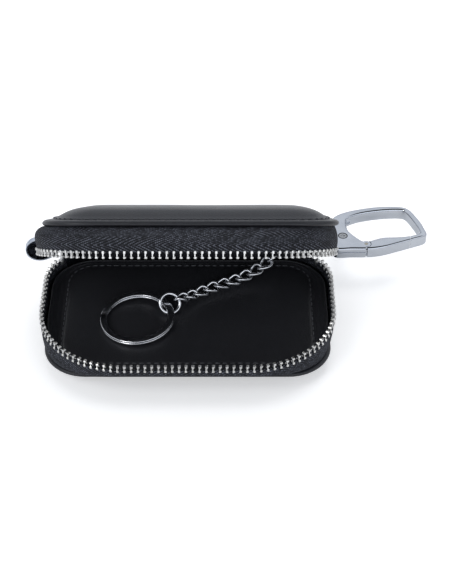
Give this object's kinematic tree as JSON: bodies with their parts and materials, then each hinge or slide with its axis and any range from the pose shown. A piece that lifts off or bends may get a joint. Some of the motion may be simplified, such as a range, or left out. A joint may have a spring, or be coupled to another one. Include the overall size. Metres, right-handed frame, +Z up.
{
  "type": "zip-round key case",
  "caption": "Padded leather key case in two rounded shells with a metal zip round three sides, a key ring on a short chain inside and a spring hook on a leather strap.",
  "frame": {"origin": "centre of the flat rest face under the lower shell", "axes": "+X towards the spring hook, +Y towards the folding spine, +Z up from the surface it lies on"},
  "size_m": [0.1699, 0.0994, 0.0671],
  "materials": {
    "cover_leather": "fine-grained charcoal leather",
    "spine_leather": "fine-grained charcoal leather",
    "padding": "foam padding, unseen",
    "board": "stiffening board, unseen",
    "lining": "smooth black lining",
    "zip_tape": "woven herringbone tape",
    "zip_metal": "bright silver",
    "slider_metal": "dark polished",
    "strap_leather": "black",
    "hook_chrome": "satin",
    "steel": "plain",
    "chain_chrome": "polished",
    "ring_chrome": "polished"
  },
  "bodies": {
    "tray": {"lower_cover": "cover_leather", "lower_padding": "padding", "lower_board": "board", "lower_lining": "lining", "lower_tape": "zip_tape", "lower_teeth": "zip_metal", "spine_lower": "spine_leather", "zip_slider": "slider_metal", "zip_bottom_stop": "zip_metal", "zip_top_stop_lower": "zip_metal", "anchor_keeper": "strap_leather", "anchor_ring": "chain_chrome"},
    "lid": {"lid_cover": "cover_leather", "lid_padding": "padding", "lid_board": "board", "lid_lining": "lining", "lid_tape": "zip_tape", "lid_teeth": "zip_metal", "spine_upper": "spine_leather", "zip_top_stop_lid": "zip_metal"},
    "puller": {"zip_puller": "slider_metal"},
    "strap": {"hook_strap": "strap_leather", "clamp_screw": "steel", "clamp_post": "steel"},
    "hook": {"hook_body": "hook_chrome", "gate_pin": "steel", "gate_spring": "steel"},
    "gate": {"hook_gate": "hook_chrome"},
    "link_09": {"chain_link_09": "chain_chrome"},
    "link_08": {"chain_link_08": "chain_chrome"},
    "link_07": {"chain_link_07": "chain_chrome"},
    "link_06": {"chain_link_06": "chain_chrome"},
    "link_05": {"chain_link_05": "chain_chrome"},
    "link_04": {"chain_link_04": "chain_chrome"},
    "link_03": {"chain_link_03": "chain_chrome"},
    "link_02": {"chain_link_02": "chain_chrome"},
    "link_01": {"chain_link_01": "chain_chrome"},
    "jump_ring": {"jump_ring": "chain_chrome"},
    "split_ring": {"split_ring": "ring_chrome"}
  },
  "joints": [
    {"name": "lid_hinge", "type": "hinge", "parent": "tray", "child": "lid", "pos_m": [0, 0.02865, 0.0185], "axis": [-1, 0, 0], "range_deg": [-36.7, 53.3]},
    {"name": "puller_swing", "type": "hinge", "parent": "tray", "child": "puller", "pos_m": [-0.05148, 0.02909, 0.0185], "axis": [0, 0, 1], "range_deg": [-40, 15]},
    {"name": "strap_bend", "type": "hinge", "parent": "tray", "child": "strap", "pos_m": [0.051, 0.026, 0.0185], "axis": [-0.6691, 0.7431, 0], "range_deg": [-35, 45]},
    {"name": "hook_swivel", "type": "hinge", "parent": "strap", "child": "hook", "pos_m": [0.06488, 0.03347, 0.0185], "axis": [0, 0, 1], "range_deg": [-12, 12]},
    {"name": "gate_swing", "type": "hinge", "parent": "hook", "child": "gate", "pos_m": [0.07443, 0.02807, 0.0185], "axis": [0, 0, 1], "range_deg": [0, 24], "stiffness_Nm_per_rad": 0.03, "springref_deg": -34.38},
    {"name": "link_09_lift", "type": "hinge", "parent": "tray", "child": "link_09", "pos_m": [0.03363, 0.02388, 0.01543], "axis": [-0.3746, 0.9272, 0], "range_deg": [0, 22]},
    {"name": "link_08_sway", "type": "hinge", "parent": "link_09", "child": "link_08", "pos_m": [0.02956, 0.02223, 0.0129], "axis": [0, 0, 1], "range_deg": [-8, 8]},
    {"name": "link_07_lift", "type": "hinge", "parent": "link_08", "child": "link_07", "pos_m": [0.0252, 0.02047, 0.011], "axis": [-0.3907, 0.9205, 0], "range_deg": [0, 14]},
    {"name": "link_06_sway", "type": "hinge", "parent": "link_07", "child": "link_06", "pos_m": [0.02064, 0.01853, 0.00994], "axis": [0, 0, -1], "range_deg": [-8, 8]},
    {"name": "link_05_lift", "type": "hinge", "parent": "link_06", "child": "link_05", "pos_m": [0.01602, 0.01648, 0.00959], "axis": [-0.4226, 0.9063, 0], "range_deg": [0, 12]},
    {"name": "link_04_sway", "type": "hinge", "parent": "link_05", "child": "link_04", "pos_m": [0.01142, 0.01434, 0.00959], "axis": [0, 0, 1], "range_deg": [-8, 8]},
    {"name": "link_03_lift", "type": "hinge", "parent": "link_04", "child": "link_03", "pos_m": [0.00698, 0.01188, 0.00959], "axis": [-0.5446, 0.8387, 0], "range_deg": [0, 12]},
    {"name": "link_02_sway", "type": "hinge", "parent": "link_03", "child": "link_02", "pos_m": [0.00273, 0.00911, 0.00959], "axis": [0, 0, -1], "range_deg": [-8, 8]},
    {"name": "link_01_lift", "type": "hinge", "parent": "link_02", "child": "link_01", "pos_m": [-0.00098, 0.00589, 0.01082], "axis": [-0.6691, 0.7431, 0], "range_deg": [0, 12]},
    {"name": "jump_ring_swing", "type": "hinge", "parent": "link_01", "child": "jump_ring", "pos_m": [-0.00406, 0.00312, 0.01232], "axis": [-0.4575, 0.5863, 0.6686], "range_deg": [0, 25]},
    {"name": "split_ring_lift", "type": "hinge", "parent": "jump_ring", "child": "split_ring", "pos_m": [-0.00856, 0.0009, 0.01063], "axis": [-0.4695, 0.8829, 0], "range_deg": [0, 14]}
  ]
}
